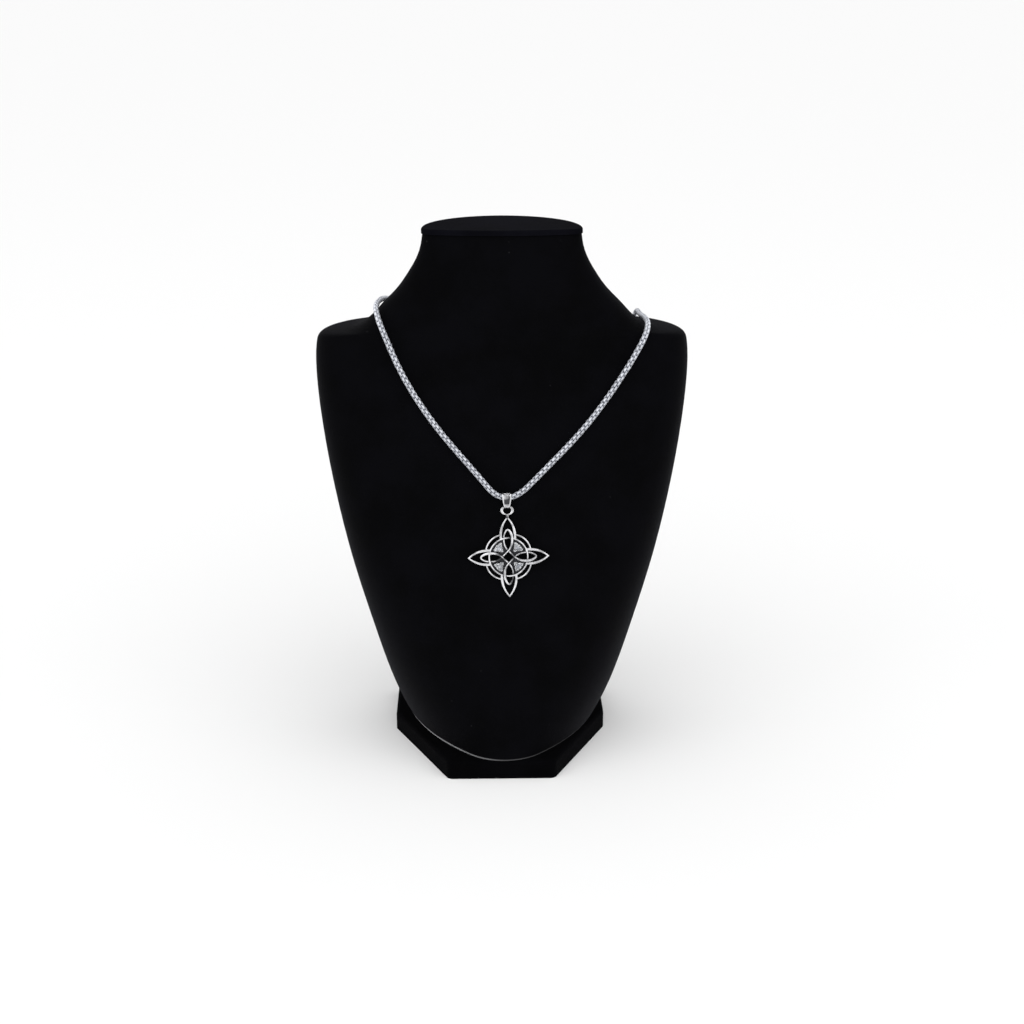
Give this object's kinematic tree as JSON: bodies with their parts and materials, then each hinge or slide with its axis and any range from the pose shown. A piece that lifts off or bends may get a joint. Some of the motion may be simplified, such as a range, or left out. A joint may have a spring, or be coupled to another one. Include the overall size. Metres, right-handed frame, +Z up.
{
  "type": "four-cornered knot pendant necklace on a neck bust",
  "caption": "Pierced interlace knot pendant with clear cut stones, hung by a strap bail on a box chain that lies over a plain velvet neck bust with a chamfered foot.",
  "frame": {"origin": "centre of the foot's flat underside", "axes": "+Z up, the chest and the pendant face -Y, +X is the viewer's right"},
  "size_m": [0.144, 0.082, 0.2082],
  "materials": {
    "velvet": "black flocked velvet",
    "cast_metal": "polished casting with dark recesses",
    "strap_metal": "polished strap with a dark sunken face",
    "chain_metal": "bright worn steel",
    "stone": "clear, cut with a table and facets"
  },
  "bodies": {
    "root": {"bust_body": "velvet", "neck_cap": "velvet", "bust_foot": "velvet", "pendant_knot": "cast_metal", "stone_upper_right": "stone", "stone_upper_left": "stone", "stone_lower_left": "stone", "stone_lower_right": "stone", "bail": "strap_metal", "chain": "chain_metal", "clasp": "chain_metal"}
  },
  "joints": []
}
